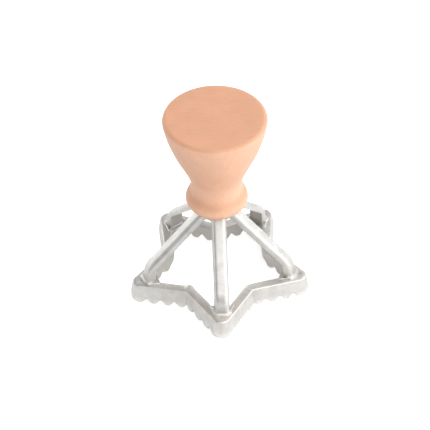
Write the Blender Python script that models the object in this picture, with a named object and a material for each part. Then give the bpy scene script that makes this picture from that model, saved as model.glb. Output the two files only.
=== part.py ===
"""Star-shaped ravioli stamp: a cast star rim with teeth, five spokes, a turned handle and its screw.

Units are metres and +Z is up. The teeth stand on the plane z = 0 and one star tip, the front, points to -Y.
The origin is the middle of the base of the whole stamp's box, so the handle's axis lies a little behind it.
"""
import math

import bmesh
import bpy
from mathutils import Matrix, Vector
from mathutils.geometry import interpolate_bezier

MM = 0.001

# Gap left between pieces that touch on the real stamp
FIT_GAP = 0.3 * MM

# Star rim in plan, outer line at the top plane
STAR_POINTS = 5
TIP_REACH = 39.7 * MM
NOTCH_REACH = 22.4 * MM
TIP_ROUNDING = 3.7 * MM
NOTCH_FOOT_ROUNDING = 0.3 * MM

# Star rim in section
RIM_HEIGHT = 8.7 * MM
RIM_WALL = 3.95 * MM
RIM_INNER_DRAFT = 0.45 * MM
RIM_EDGE_ROUNDING = 0.55 * MM
RIM_FLARE = 0.8 * MM
PARTING_ABOVE_TEETH = 1.3 * MM
INNER_CORNER = 0.5 * MM
LOWER_FLARE_SHARE = 0.9
ARC_STEP = math.radians(14)
LEAST_STATION_SPACING = 0.3 * MM

# Crimping teeth: grooves across each edge between a notch and a tip, and one in the notch itself
GROOVES_PER_EDGE = 3
FIRST_GROOVE_DISTANCE = 5.3 * MM
GROOVE_DEPTH = 2.3 * MM
GROOVE_HALF_SHARE = 0.38
GROOVE_ROOF_SHARE = 0.06
TOOTH_LINE = 1.0 * MM
TOOTH_OUTER_BEVEL = 0.8 * MM
TOOTH_OUTER_BEVEL_RISE = 0.8 * MM
TOOTH_LAND = 1.5 * MM
TOOTH_INNER_BEVEL_RISE = 1.5 * MM

# Spokes, straight from the hub down to a bend, then a steep foot in the star's tip
SPOKE_ANGLE = math.radians(44)
SPOKE_WIDTH_AT_HUB = 5.3 * MM
SPOKE_WIDTH_AT_FOOT = 5.9 * MM
SPOKE_DEPTH = 2.7 * MM
SPOKE_EDGE_ROUNDING = 0.95 * MM
SPOKE_UNDER_ROUNDING = 0.5 * MM
SPOKE_INTO_HUB = 1.5 * MM
FOOT_TO_TIP = 8.3 * MM
FOOT_LENGTH = 4.0 * MM
FOOT_HEIGHT = 7.0 * MM
FOOT_LEAN = 1.2 * MM
BEND_LENGTH = 3.2 * MM
BEND_STEPS = 4
FOOT_FILLET = 1.3 * MM
FOOT_FLARE = 0.7 * MM
FILLET_STEPS = 4
FILLET_NARROWING = 0.8
FILLET_CORNER_SHARE = 0.3

# Web that closes each tip's inner corner under the foot
WEB_PAST_HEEL = 1.6 * MM
WEB_THICKNESS = 4.2 * MM
WEB_STEP = 0.3 * MM
WEB_OVERLAP = 1.5 * MM
WEB_END_WIDTH = 2.0 * MM

# Depths to which added metal is sunk into what carries it, so that no two faces lie in one plane
SUNK = 0.2 * MM
SLIGHTLY_SUNK = 0.1 * MM

# Hub and the countersunk screw
HUB_RADIUS = 6.5 * MM
HUB_THICKNESS = 3.0 * MM
HUB_EDGE_ROUNDING = 0.5 * MM
SCREW_SHANK_RADIUS = 2.0 * MM
SCREW_HEAD_RADIUS = 3.8 * MM
SCREW_LENGTH = 24.0 * MM
SCREW_POINT_LENGTH = 3.5 * MM
SCREW_HEAD_RIM = 0.25 * MM
PILOT_HOLE_SPARE = 1.5 * MM
CUTTER_OVERRUN = 1.0 * MM

# Turned handle, heights above its foot
HANDLE_HEIGHT = 45.2 * MM
HANDLE_FOOT_RADIUS = 8.0 * MM
BULB_RADIUS = 12.3 * MM
BULB_HEIGHT = 3.6 * MM
NECK_RADIUS = 10.05 * MM
NECK_HEIGHT = 12.0 * MM
KNOB_RADIUS = 20.4 * MM
KNOB_EDGE_ROUNDING = 1.8 * MM
CONE_SLOPE_AT_TOP = 0.16

# Shares of a stretch over which the handle's profile holds its direction
KNOB_EDGE_PULL = 0.55
CONE_TOP_PULL = 0.51
CONE_NECK_PULL = 0.26
NECK_PULL = 0.9
BULB_TOP_PULL = 0.53
BULB_FOOT_PULL = 0.1

# Steps of the rounded and turned surfaces
EDGE_STEPS = 3
UNDER_EDGE_STEPS = 2
CURVE_STEPS = 6
CONE_STEPS = 9
HANDLE_SEGMENTS = 40
SCREW_SEGMENTS = 16
HUB_SEGMENTS = 30

# Lines that several pieces share
CORNER_STEP = math.pi / STAR_POINTS
NOTCH_ROUNDING = NOTCH_FOOT_ROUNDING + RIM_FLARE
EDGE_VECTOR = Vector((NOTCH_REACH * math.sin(CORNER_STEP), TIP_REACH - NOTCH_REACH * math.cos(CORNER_STEP)))
TIP_HALF_ANGLE = math.atan2(EDGE_VECTOR.x, EDGE_VECTOR.y)
TIP_TURN = math.pi - 2 * TIP_HALF_ANGLE
NOTCH_TURN = 2 * CORNER_STEP - TIP_TURN
FOOT_REACH = TIP_REACH - FOOT_TO_TIP
FOOT_BEND = FOOT_REACH - FOOT_LEAN
WEB_REACH = FOOT_REACH - FOOT_LENGTH - WEB_PAST_HEEL
HUB_TOP = RIM_HEIGHT + FOOT_HEIGHT + (FOOT_BEND - HUB_RADIUS) * math.tan(SPOKE_ANGLE) - (
    SPOKE_DEPTH / math.cos(SPOKE_ANGLE) - HUB_THICKNESS)
HUB_UNDERSIDE = HUB_TOP - HUB_THICKNESS
HANDLE_SEAT = HUB_TOP + FIT_GAP
SCREW_HOLE_RADIUS = SCREW_SHANK_RADIUS + FIT_GAP
ROUNDED_TIP_REACH = TIP_REACH - TIP_ROUNDING * (1 / math.sin(TIP_HALF_ANGLE) - 1) + RIM_FLARE
TIP_CENTRE_REACH = TIP_REACH - TIP_ROUNDING / math.sin(TIP_HALF_ANGLE)
REAR_TIP_ANGLE = math.pi / 2 - CORNER_STEP * (STAR_POINTS % 2)
REAR_REACH = TIP_CENTRE_REACH * math.sin(REAR_TIP_ANGLE) + TIP_ROUNDING + RIM_FLARE
AXIS_Y = (ROUNDED_TIP_REACH - REAR_REACH) / 2


def remove_everything():
    """Empty the file of objects."""
    for item in list(bpy.data.objects):
        bpy.data.objects.remove(item)


def finish_material(name, colour, metallic, roughness):
    """A plain Principled material."""
    material = bpy.data.materials.new(name)
    material.use_nodes = True
    shader = material.node_tree.nodes["Principled BSDF"]
    shader.inputs["Base Color"].default_value = (*colour, 1.0)
    shader.inputs["Metallic"].default_value = metallic
    shader.inputs["Roughness"].default_value = roughness
    return material


def object_from_bmesh(name, bm, material=None):
    """Link a bmesh as an object, with its faces pointing out."""
    bmesh.ops.recalc_face_normals(bm, faces=bm.faces)
    mesh = bpy.data.meshes.new(name)
    bm.to_mesh(mesh)
    bm.free()
    item = bpy.data.objects.new(name, mesh)
    bpy.context.scene.collection.objects.link(item)
    if material:
        mesh.materials.append(material)
    return item


def add_loft(bm, rings, closed=False):
    """Skin closed rings of points in order; the ends are capped, or the last ring joins the first."""
    loops = [[bm.verts.new(point) for point in ring] for ring in rings]
    pairs = list(zip(loops, loops[1:]))
    if closed:
        pairs.append((loops[-1], loops[0]))
    for first, second in pairs:
        for index in range(len(first)):
            after = (index + 1) % len(first)
            bm.faces.new((first[index], first[after], second[after], second[index]))
    if not closed:
        bm.faces.new(loops[0])
        bm.faces.new(loops[-1])


def add_lathe(bm, profile, segments):
    """Turn a profile of (radius, height) round the Z axis; its ends lie on the axis."""
    points = [Vector((radius, 0.0, height)) for radius, height in profile]
    verts = [bm.verts.new(point) for point in points]
    edges = [bm.edges.new(pair) for pair in zip(verts, verts[1:])]
    bmesh.ops.spin(bm, geom=verts + edges, cent=(0, 0, 0), axis=(0, 0, 1), angle=2 * math.pi,
                   steps=segments, use_merge=True)
    bmesh.ops.remove_doubles(bm, verts=bm.verts, dist=0.01 * MM)


def bezier(start, start_handle, end_handle, end, steps):
    """Points of one Bezier stretch of a profile, without its last point."""
    controls = (start, start_handle, end_handle, end)
    corners = [Vector((radius, 0.0, height)) for radius, height in controls]
    return [(point.x, point.z) for point in interpolate_bezier(*corners, steps + 1)[:-1]]


def edge_pieces():
    """Half the arc of a tip, the straight run and half the arc of a notch, along the rim's outer line.

    Each piece holds its length on the tooth line, how far it turns, and a function that gives the outer
    point, the outward direction and the room inward at a share of that length. The tip is the front one.
    """
    tip_tangent = TIP_ROUNDING * math.tan(TIP_TURN / 2)
    notch_tangent = -NOTCH_ROUNDING * math.tan(NOTCH_TURN / 2)
    run = EDGE_VECTOR.length - tip_tangent - notch_tangent
    tip_bearing = -math.pi / 2
    notch_bearing = tip_bearing + CORNER_STEP
    edge_bearing = tip_bearing + TIP_TURN / 2

    def arc(reach, corner_bearing, radius, start, end):
        turn = 2 * abs(edge_bearing - corner_bearing)
        away = Vector((math.cos(corner_bearing), math.sin(corner_bearing)))
        centre = away * (reach - radius / math.cos(turn / 2))
        room = radius if radius > 0 else math.inf

        def place(share):
            bearing = start + (end - start) * share
            outward = Vector((math.cos(bearing), math.sin(bearing)))
            return centre + outward * radius, outward, room

        return abs(end - start) * abs(radius - TOOTH_LINE), abs(end - start), place

    tip_arc = arc(TIP_REACH, tip_bearing, TIP_ROUNDING, tip_bearing, edge_bearing)
    notch_arc = arc(NOTCH_REACH, notch_bearing, -NOTCH_ROUNDING, edge_bearing, notch_bearing)
    first, outward, _ = tip_arc[2](1.0)
    along = Vector((-outward.y, outward.x))

    def line(share):
        to_tip = tip_tangent + run * share
        return first + along * run * share, outward, to_tip * math.tan(TIP_HALF_ANGLE)

    return [tip_arc, (run, 0.0, line), notch_arc]


def edge_stations():
    """Plan point, outward direction, room inward and tooth lift at each section from a tip to a notch."""
    pieces = edge_pieces()
    length = sum(piece[0] for piece in pieces)
    pitch = (length - FIRST_GROOVE_DISTANCE) / GROOVES_PER_EDGE
    half = GROOVE_HALF_SHARE * pitch
    roof = GROOVE_ROOF_SHARE * pitch
    wanted = {0.0, length}
    for groove in range(GROOVES_PER_EDGE + 1):
        centre = FIRST_GROOVE_DISTANCE + groove * pitch
        wanted.update(centre + offset for offset in (-half, -roof, roof, half))
    wanted = {distance for distance in wanted if distance <= length}
    passed = 0.0
    for run, turn, _ in pieces:
        parts = max(1, math.ceil(turn / ARC_STEP))
        for part in range(parts):
            distance = passed + run * part / parts
            if min(abs(distance - other) for other in wanted) > LEAST_STATION_SPACING:
                wanted.add(distance)
        passed += run
    stations = []
    for distance in sorted(wanted):
        rest = distance
        for run, _, place in pieces:
            if rest <= run + 1e-9:
                break
            rest -= run
        from_groove = FIRST_GROOVE_DISTANCE - distance
        if from_groove < 0:
            from_groove = abs((pitch / 2 - from_groove) % pitch - pitch / 2)
        lift = GROOVE_DEPTH * min(1.0, max(0.0, (half - from_groove) / (half - roof)))
        stations.append((*place(min(1.0, rest / run)), lift))
    return stations


def rim_section(room, lift):
    """Section of the rim as (distance inward, height), from the top's outer edge down and round."""
    top_inner = min(RIM_WALL, room - INNER_CORNER)
    bottom_inner = min(RIM_WALL - RIM_INNER_DRAFT, room - INNER_CORNER)
    rounding = RIM_EDGE_ROUNDING
    on_arc = rounding * (1 - math.cos(math.pi / 4))
    land_start = TOOTH_OUTER_BEVEL - RIM_FLARE
    parting = GROOVE_DEPTH + PARTING_ABOVE_TEETH
    return [
        (rounding, RIM_HEIGHT),
        (on_arc, RIM_HEIGHT - on_arc),
        (0.0, RIM_HEIGHT - rounding),
        (-RIM_FLARE, parting),
        (-RIM_FLARE * LOWER_FLARE_SHARE, lift + TOOTH_OUTER_BEVEL_RISE),
        (land_start, lift),
        (land_start + TOOTH_LAND, lift),
        (bottom_inner, lift + TOOTH_INNER_BEVEL_RISE),
        (top_inner, RIM_HEIGHT),
    ]


def build_rim(material):
    """The closed star rim: one edge, mirrored to an arm and turned to each tip."""
    edge = []
    for point, outward, room, lift in edge_stations():
        ring = []
        for inward, height in rim_section(room, lift):
            place = point - outward * inward
            ring.append(Vector((place.x, place.y, height)))
        edge.append(ring)
    mirrored = [[Vector((-point.x, point.y, point.z)) for point in ring] for ring in edge[:0:-1]]
    rings = []
    for arm in range(STAR_POINTS):
        turn = Matrix.Rotation(2 * arm * CORNER_STEP, 3, 'Z')
        rings += [[turn @ point for point in ring] for ring in mirrored + edge[:-1]]
    bm = bmesh.new()
    add_loft(bm, rings, closed=True)
    return object_from_bmesh("star_frame", bm, material)


def add_spoke(bm, turn_to_arm):
    """One spoke with its foot, from a side view widened along its length, with rounded long edges."""
    slope = math.tan(SPOKE_ANGLE)
    bend_height = RIM_HEIGHT + FOOT_HEIGHT
    under_drop = SPOKE_DEPTH / math.cos(SPOKE_ANGLE)
    hub_top_reach = FOOT_BEND - (HUB_TOP - bend_height) / slope
    hub_top_reach += SLIGHTLY_SUNK / slope
    inner_end = HUB_RADIUS - SPOKE_INTO_HUB
    heel = FOOT_REACH - FOOT_LENGTH
    heel_top = bend_height - under_drop + (FOOT_BEND - heel) * slope
    below = RIM_HEIGHT - WEB_THICKNESS / 2
    bend = Vector((FOOT_BEND, bend_height))
    foot = Vector((FOOT_REACH, RIM_HEIGHT + FOOT_FILLET))
    above = Vector((-math.cos(SPOKE_ANGLE), math.sin(SPOKE_ANGLE))) * BEND_LENGTH
    beneath = (foot - bend).normalized() * BEND_LENGTH
    bend_points = bezier(bend + above, bend + above / 2, bend + beneath / 2, bend + beneath, BEND_STEPS)
    side_view = [
        (inner_end, HUB_TOP - SLIGHTLY_SUNK),
        (hub_top_reach, HUB_TOP - SLIGHTLY_SUNK),
        *bend_points,
        tuple(bend + beneath),
        tuple(foot),
        (FOOT_REACH, below),
        (heel, below),
        (heel, heel_top),
        (HUB_RADIUS, HUB_UNDERSIDE),
        (inner_end, HUB_UNDERSIDE),
    ]

    def half_width(reach):
        share = (reach - HUB_RADIUS) / (FOOT_REACH - HUB_RADIUS)
        return (SPOKE_WIDTH_AT_HUB + (SPOKE_WIDTH_AT_FOOT - SPOKE_WIDTH_AT_HUB) * share) / 2

    spoke = bmesh.new()
    sides = []
    for side in (-1, 1):
        outline = [(reach, side * half_width(reach), height) for reach, height in side_view]
        sides.append([spoke.verts.new(point) for point in outline])
    left, right = sides
    spoke.faces.new(left)
    spoke.faces.new(right[::-1])
    count = len(side_view)
    for index in range(count):
        after = (index + 1) % count
        spoke.faces.new((left[index], right[index], right[after], left[after]))
    top_edges = [spoke.edges.get((row[index], row[index + 1])) for row in sides
                 for index in range(1, len(bend_points) + 4)]
    round_edges(spoke, top_edges, SPOKE_EDGE_ROUNDING, EDGE_STEPS)
    under = [edge for edge in spoke.edges if is_under_edge(edge, heel, heel_top, half_width)]
    round_edges(spoke, under, SPOKE_UNDER_ROUNDING, UNDER_EDGE_STEPS)
    copy_turned(bm, spoke, turn_to_arm)


def round_edges(bm, edges, rounding, segments):
    """Round some edges of a bmesh."""
    bmesh.ops.bevel(bm, geom=edges, offset=rounding, segments=segments, profile=0.5, affect='EDGES')


def is_under_edge(edge, heel, heel_top, half_width):
    """True for the two long edges on a spoke's underside, between the hub and the heel of its foot."""
    near = min(edge.verts, key=lambda vert: vert.co.x).co
    far = max(edge.verts, key=lambda vert: vert.co.x).co
    small = 0.01 * MM
    at_hub = abs(near.x - HUB_RADIUS) < small and abs(near.z - HUB_UNDERSIDE) < small
    at_heel = abs(far.x - heel) < small and abs(far.z - heel_top) < small
    return at_hub and at_heel and abs(near.y - far.y) < half_width(heel)


def add_foot_fillet(bm, turn_to_arm):
    """The cove that runs round three sides of a foot, wider towards the star's middle."""
    heel = FOOT_REACH - FOOT_LENGTH + SUNK
    half = SPOKE_WIDTH_AT_FOOT / 2
    corner = SPOKE_EDGE_ROUNDING
    rings = []
    quarters = [step / FILLET_STEPS * math.pi / 2 for step in range(FILLET_STEPS + 1)]
    levels = [(-WEB_STEP - SUNK, 1.0)]
    levels += [((1 - math.cos(angle)) * FOOT_FILLET, 1 - math.sin(angle)) for angle in quarters]
    for rise, spread in levels:
        out = FOOT_FILLET * spread
        wide = half + out + FOOT_FLARE * spread
        narrow = half + out * FILLET_NARROWING
        end = FOOT_REACH + out
        ring = [
            (heel, -wide),
            (FOOT_REACH - corner, -narrow),
            (end - corner * FILLET_CORNER_SHARE, -narrow + corner),
        ]
        ring += [(reach, -across) for reach, across in ring[::-1]]
        rings.append([Vector((reach, across, RIM_HEIGHT + rise)) for reach, across in ring])
    fillet = bmesh.new()
    add_loft(fillet, rings)
    copy_turned(bm, fillet, turn_to_arm)


def add_web(bm, turn_to_arm):
    """The plate that closes the inner corner of a tip, a small step below the rim's top."""
    top = RIM_HEIGHT - WEB_STEP
    slope = math.tan(TIP_HALF_ANGLE)
    inner_line = (TIP_REACH - WEB_REACH) * slope - RIM_WALL / math.cos(TIP_HALF_ANGLE)
    half = inner_line + WEB_OVERLAP
    far = TIP_CENTRE_REACH + TIP_ROUNDING / 2
    far_half = WEB_END_WIDTH / 2
    outline = [(WEB_REACH, -half), (far, -far_half), (far, far_half), (WEB_REACH, half)]
    web = bmesh.new()
    add_loft(web, [[Vector((reach, across, height)) for reach, across in outline]
                   for height in (top - WEB_THICKNESS, top)])
    copy_turned(bm, web, turn_to_arm)


def copy_turned(target, source, angle):
    """Copy a bmesh into another, turned round the Z axis, and free it."""
    cos_a = math.cos(angle)
    sin_a = math.sin(angle)
    for vert in source.verts:
        x, y = vert.co.x, vert.co.y
        vert.co.x = x * cos_a - y * sin_a
        vert.co.y = x * sin_a + y * cos_a
    bmesh.ops.recalc_face_normals(source, faces=source.faces)
    mesh = bpy.data.meshes.new("turned_copy")
    source.to_mesh(mesh)
    source.free()
    target.from_mesh(mesh)
    bpy.data.meshes.remove(mesh)


def add_hub(bm):
    """The round hub under the handle."""
    rounding = HUB_EDGE_ROUNDING
    hub = bmesh.new()
    add_lathe(hub, [
        (0.0, HUB_TOP),
        (HUB_RADIUS - rounding, HUB_TOP),
        (HUB_RADIUS, HUB_TOP - rounding),
        (HUB_RADIUS, HUB_UNDERSIDE + rounding),
        (HUB_RADIUS - rounding, HUB_UNDERSIDE - SLIGHTLY_SUNK),
        (0.0, HUB_UNDERSIDE - SLIGHTLY_SUNK),
    ], HUB_SEGMENTS)
    copy_turned(bm, hub, 0.0)


def screw_profile(spare):
    """Profile of the screw, or of the space it needs when spare is the gap round it."""
    shank = SCREW_SHANK_RADIUS + spare
    head = SCREW_HEAD_RADIUS + spare
    face = HUB_UNDERSIDE + SCREW_HEAD_RIM
    rim_top = face + SCREW_HEAD_RIM
    neck = rim_top + head - shank
    return shank, head, face, rim_top, neck


def add_as_guide(name, bm):
    """A hidden operand for a Boolean."""
    item = object_from_bmesh(name, bm)
    item.hide_render = True
    item.display_type = 'WIRE'
    return item


def apply_booleans(target, operands):
    """Apply a chain of exact Booleans to an object and remove the operands."""
    for operation, operand in operands:
        modifier = target.modifiers.new(operand.name, 'BOOLEAN')
        modifier.operation = operation
        modifier.solver = 'EXACT'
        modifier.use_self = operation == 'UNION'
        modifier.object = operand
    evaluated = target.evaluated_get(bpy.context.evaluated_depsgraph_get())
    mesh = bpy.data.meshes.new_from_object(evaluated)
    close_slivers(mesh)
    target.modifiers.clear()
    target.data = mesh
    for operation, operand in operands:
        bpy.data.objects.remove(operand)


def close_slivers(mesh):
    """Close the hair-thin openings that a Boolean leaves where two walls almost meet."""
    bm = bmesh.new()
    bm.from_mesh(mesh)
    open_edges = [edge for edge in bm.edges if edge.is_boundary]
    if open_edges:
        bmesh.ops.holes_fill(bm, edges=open_edges)
        bmesh.ops.recalc_face_normals(bm, faces=bm.faces)
        bm.to_mesh(mesh)
    bm.free()


def build_star_frame(material):
    """Rim, webs, feet, spokes and hub as one casting, with the countersunk hole for the screw."""
    frame = build_rim(material)
    arms = bmesh.new()
    for arm in range(STAR_POINTS):
        angle = -math.pi / 2 + 2 * arm * CORNER_STEP
        add_web(arms, angle)
        add_foot_fillet(arms, angle)
        add_spoke(arms, angle)
    add_hub(arms)
    shank, head, face, rim_top, neck = screw_profile(FIT_GAP)
    hole = bmesh.new()
    add_lathe(hole, [
        (0.0, HUB_TOP + CUTTER_OVERRUN),
        (shank, HUB_TOP + CUTTER_OVERRUN),
        (shank, neck),
        (head, rim_top),
        (head, HUB_UNDERSIDE - CUTTER_OVERRUN),
        (0.0, HUB_UNDERSIDE - CUTTER_OVERRUN),
    ], HUB_SEGMENTS)
    apply_booleans(frame, [
        ('UNION', add_as_guide("arms", arms)),
        ('DIFFERENCE', add_as_guide("screw_hole", hole)),
    ])
    return frame


def build_handle(material):
    """The turned handle: foot, bulb, neck, cone and flat round top, with a blind pilot hole."""
    top = HANDLE_SEAT + HANDLE_HEIGHT
    bulb = HANDLE_SEAT + BULB_HEIGHT
    neck = HANDLE_SEAT + NECK_HEIGHT
    edge = top - KNOB_EDGE_ROUNDING
    cone = edge - neck
    edge_pull = KNOB_EDGE_PULL * KNOB_EDGE_ROUNDING
    cone_pull = CONE_TOP_PULL * cone
    foot_pull = BULB_FOOT_PULL * (BULB_RADIUS - HANDLE_FOOT_RADIUS)
    profile = [(0.0, top)]
    profile += bezier((KNOB_RADIUS - KNOB_EDGE_ROUNDING, top),
                      (KNOB_RADIUS - KNOB_EDGE_ROUNDING + edge_pull, top),
                      (KNOB_RADIUS + edge_pull * CONE_SLOPE_AT_TOP, edge + edge_pull),
                      (KNOB_RADIUS, edge), CURVE_STEPS)
    profile += bezier((KNOB_RADIUS, edge),
                      (KNOB_RADIUS - cone_pull * CONE_SLOPE_AT_TOP, edge - cone_pull),
                      (NECK_RADIUS, neck + CONE_NECK_PULL * cone),
                      (NECK_RADIUS, neck), CONE_STEPS)
    profile += bezier((NECK_RADIUS, neck),
                      (NECK_RADIUS, neck - NECK_PULL * (neck - bulb)),
                      (BULB_RADIUS, bulb + BULB_TOP_PULL * (neck - bulb)),
                      (BULB_RADIUS, bulb), CURVE_STEPS)
    profile += bezier((BULB_RADIUS, bulb),
                      (BULB_RADIUS, bulb - BULB_FOOT_PULL * BULB_HEIGHT),
                      (HANDLE_FOOT_RADIUS + foot_pull, HANDLE_SEAT),
                      (HANDLE_FOOT_RADIUS, HANDLE_SEAT), CURVE_STEPS)
    hole_end = HUB_UNDERSIDE + SCREW_LENGTH + PILOT_HOLE_SPARE
    profile += [(HANDLE_FOOT_RADIUS, HANDLE_SEAT), (SCREW_HOLE_RADIUS, HANDLE_SEAT)]
    profile += [(SCREW_HOLE_RADIUS, hole_end - SCREW_HOLE_RADIUS), (0.0, hole_end)]
    bm = bmesh.new()
    add_lathe(bm, profile, HANDLE_SEGMENTS)
    return object_from_bmesh("handle", bm, material)


def build_screw(material):
    """The countersunk wood screw, head down in the hub and point up in the handle."""
    shank, head, face, rim_top, neck = screw_profile(0.0)
    point = HUB_UNDERSIDE + SCREW_LENGTH
    bm = bmesh.new()
    add_lathe(bm, [
        (0.0, point),
        (shank, point - SCREW_POINT_LENGTH),
        (shank, neck),
        (head, rim_top),
        (head, face),
        (0.0, face),
    ], SCREW_SEGMENTS)
    return object_from_bmesh("handle_screw", bm, material)


def main():
    remove_everything()
    axis = bpy.data.objects.new("stamp_axis", None)
    bpy.context.scene.collection.objects.link(axis)
    axis.location = (0.0, AXIS_Y, 0.0)
    pieces = [
        build_star_frame(finish_material("cast_aluminium", (0.62, 0.61, 0.59), 1.0, 0.42)),
        build_handle(finish_material("beech", (0.80, 0.52, 0.36), 0.0, 0.45)),
        build_screw(finish_material("zinc_plated_steel", (0.55, 0.55, 0.56), 1.0, 0.3)),
    ]
    for piece in pieces:
        piece.parent = axis
        piece.data.shade_smooth()
        piece.data.set_sharp_from_angle(angle=math.radians(30))


main()
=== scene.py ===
import math

import bmesh
import bpy
from bpy.props import FloatProperty, FloatVectorProperty, IntProperty, PointerProperty
from mathutils import Matrix, Vector, noise
from mathutils.geometry import interpolate_bezier


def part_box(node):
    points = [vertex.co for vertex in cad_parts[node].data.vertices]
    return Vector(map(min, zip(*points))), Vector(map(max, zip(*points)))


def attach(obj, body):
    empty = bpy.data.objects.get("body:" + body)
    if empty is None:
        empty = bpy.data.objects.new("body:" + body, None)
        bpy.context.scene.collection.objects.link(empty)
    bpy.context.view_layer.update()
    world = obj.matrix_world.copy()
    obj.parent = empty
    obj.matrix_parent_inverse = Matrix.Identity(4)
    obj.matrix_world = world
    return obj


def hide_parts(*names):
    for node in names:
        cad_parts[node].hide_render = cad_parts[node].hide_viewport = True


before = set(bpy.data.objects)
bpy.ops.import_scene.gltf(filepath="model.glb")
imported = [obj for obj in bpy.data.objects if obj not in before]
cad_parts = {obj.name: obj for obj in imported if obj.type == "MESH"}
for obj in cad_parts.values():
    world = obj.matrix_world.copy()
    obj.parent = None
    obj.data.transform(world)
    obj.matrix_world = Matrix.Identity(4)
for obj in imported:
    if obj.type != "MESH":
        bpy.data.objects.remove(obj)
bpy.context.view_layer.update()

bl_info = {
    "name": "Star Ravioli Stamp",
    "version": (1, 0, 0),
    "blender": (4, 5, 0),
    "location": "3D View > Sidebar > Stamp",
    "description": "Builds a star-shaped ravioli stamp with a cast frame and a turned beech handle",
    "category": "Add Mesh",
}

MM = 0.001

# Small sizes of the casting
TOOTH_LINE = 1.0 * MM      # the teeth are spaced along a line this far inside the rim's outer line
LEAST_WALL = 0.5 * MM      # left between the rim's inner side and the middle of a tip's arc
FLARE_BEND = 1.3 * MM      # height above the grooves from which the wall stands straight
LAND_WIDTH = 1.5 * MM      # flat land under the teeth
INNER_BEVEL = 1.5 * MM     # height of the bevel inside the teeth
SMALL_STEP = 0.3 * MM      # the rim's inner top edge, and the web's step below the rim's top
FOOT_SINK = 0.5 * MM       # how far the coves reach into the web
SPOKE_INTO_HUB = 1.5 * MM
LOWER_ROUNDING = 0.5 * MM  # along the lower edges of the spokes and round the hub
HUB_SKIN = 0.1 * MM        # the hub stands out of the spokes' ends by this much
HUB_BORE = 2.3 * MM
HUB_SINK = 4.1 * MM
SINK_HEIGHT = 0.6 * MM

FRAME_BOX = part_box("star_frame")
HANDLE_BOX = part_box("handle")
SCREW_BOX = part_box("handle_screw")
AXIS = Vector(((HANDLE_BOX[0].x + HANDLE_BOX[1].x) / 2, (HANDLE_BOX[0].y + HANDLE_BOX[1].y) / 2, 0.0))


def from_hex(code):
    """An sRGB hex colour as linear red, green and blue."""
    values = [int(code[index:index + 2], 16) / 255 for index in (1, 3, 5)]
    return tuple(value / 12.92 if value <= 0.04045 else ((value + 0.055) / 1.055) ** 2.4 for value in values)


def size(name, description, millimetres):
    """A length property with its default in millimetres."""
    return FloatProperty(name=name, description=description, default=millimetres * MM, min=0.0,
                         subtype='DISTANCE', unit='LENGTH', precision=5)


def angle(name, description, degrees):
    """An angle property with its default in degrees."""
    return FloatProperty(name=name, description=description, default=math.radians(degrees),
                         subtype='ANGLE', unit='ROTATION')


def share(name, description, default):
    """A property between nothing and one."""
    return FloatProperty(name=name, description=description, default=default, min=0.0, max=1.0, subtype='FACTOR')


def colour(name, description, code):
    """A colour property with its default as an sRGB hex code."""
    return FloatVectorProperty(name=name, description=description, default=from_hex(code), size=3,
                               min=0.0, max=1.0, subtype='COLOR')


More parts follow.
